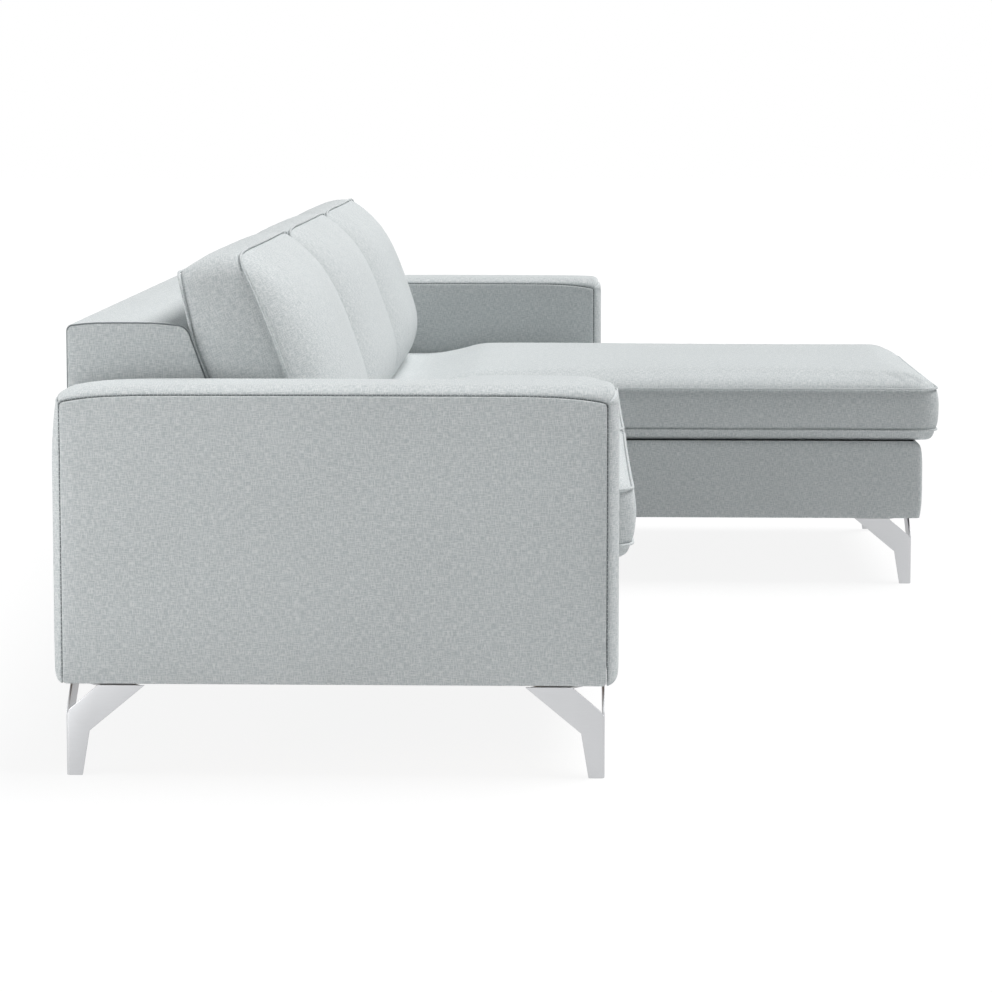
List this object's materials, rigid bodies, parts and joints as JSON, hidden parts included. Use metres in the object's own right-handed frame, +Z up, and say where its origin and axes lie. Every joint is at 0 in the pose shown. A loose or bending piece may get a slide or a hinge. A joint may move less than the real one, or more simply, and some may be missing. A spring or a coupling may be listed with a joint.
{
  "type": "corner sofa",
  "caption": "Corner sofa with a chaise at one end, loose seat and back cushions, padded arms and bent steel corner legs.",
  "frame": {"origin": "on the floor, under the middle of the sofa's outer box", "axes": "+X along the back towards the chaise, -Y towards the front, +Z up"},
  "size_m": [2.7998, 1.6704, 0.846],
  "materials": {
    "cover_fabric": "matte",
    "cushion_fabric": "matte",
    "decking_cloth": "matte",
    "webbing": "matte",
    "dust_cover_cloth": "matte",
    "timber": "matte",
    "leg_steel": "satin",
    "support_plastic": "matte",
    "zinc_hardware": "satin"
  },
  "bodies": {
    "frame": {"left_arm_cover": "cover_fabric", "right_arm_cover": "cover_fabric", "sofa_front_border": "cover_fabric", "chaise_front_border": "cover_fabric", "chaise_left_border": "cover_fabric", "chaise_right_border": "cover_fabric", "sofa_back_front_pad": "cover_fabric", "sofa_back_rear_panel": "cover_fabric", "sofa_back_top_pad": "cover_fabric", "sofa_back_left_end": "cover_fabric", "chaise_back_front_pad": "cover_fabric", "chaise_back_rear_panel": "cover_fabric", "chaise_back_top_pad": "cover_fabric", "chaise_back_right_end": "cover_fabric", "sofa_deck_pad": "decking_cloth", "chaise_deck_pad": "decking_cloth", "sofa_webbing": "webbing", "chaise_webbing": "webbing", "sofa_dust_cover": "dust_cover_cloth", "chaise_dust_cover": "dust_cover_cloth", "left_arm_frame": "timber", "right_arm_frame": "timber", "sofa_front_rail": "timber", "sofa_rear_rail": "timber", "sofa_left_rail": "timber", "sofa_middle_rail": "timber", "sofa_right_rail": "timber", "chaise_front_rail": "timber", "chaise_rear_rail": "timber", "chaise_left_rail": "timber", "chaise_middle_rail": "timber", "chaise_right_rail": "timber", "sofa_back_top_rail": "timber", "sofa_back_rib_left": "timber", "sofa_back_rib_middle": "timber", "sofa_back_rib_right": "timber", "chaise_back_top_rail": "timber", "chaise_back_rib_left": "timber", "chaise_back_rib_right": "timber", "left_arm_front_leg": "leg_steel", "left_arm_rear_leg": "leg_steel", "chaise_front_left_leg": "leg_steel", "chaise_front_right_leg": "leg_steel", "right_arm_rear_leg": "leg_steel", "sofa_front_support_leg": "support_plastic", "sofa_rear_support_leg": "support_plastic", "chaise_rear_support_leg": "support_plastic", "module_bolt_front": "zinc_hardware", "module_bolt_rear": "zinc_hardware"},
    "left_seat": {"left_seat_cushion": "cushion_fabric"},
    "middle_seat": {"middle_seat_cushion": "cushion_fabric"},
    "chaise_seat": {"chaise_seat_cushion": "cushion_fabric"},
    "left_back": {"left_back_cushion": "cushion_fabric"},
    "middle_back": {"middle_back_cushion": "cushion_fabric"},
    "chaise_back": {"chaise_back_cushion": "cushion_fabric"}
  },
  "joints": [
    {"name": "left_seat_slide", "type": "slide", "parent": "frame", "child": "left_seat", "axis": [0, -1, 0], "range_m": [0, 0.4]},
    {"name": "middle_seat_slide", "type": "slide", "parent": "frame", "child": "middle_seat", "axis": [0, -1, 0], "range_m": [0, 0.4]},
    {"name": "chaise_seat_slide", "type": "slide", "parent": "frame", "child": "chaise_seat", "axis": [0, -1, 0], "range_m": [0, 0.4]},
    {"name": "left_back_lift", "type": "slide", "parent": "frame", "child": "left_back", "axis": [0, 0.3355, 0.9421], "range_m": [0, 0.25]},
    {"name": "middle_back_lift", "type": "slide", "parent": "frame", "child": "middle_back", "axis": [0, 0.3355, 0.9421], "range_m": [0, 0.25]},
    {"name": "chaise_back_lift", "type": "slide", "parent": "frame", "child": "chaise_back", "axis": [0, 0.3355, 0.9421], "range_m": [0, 0.25]}
  ]
}
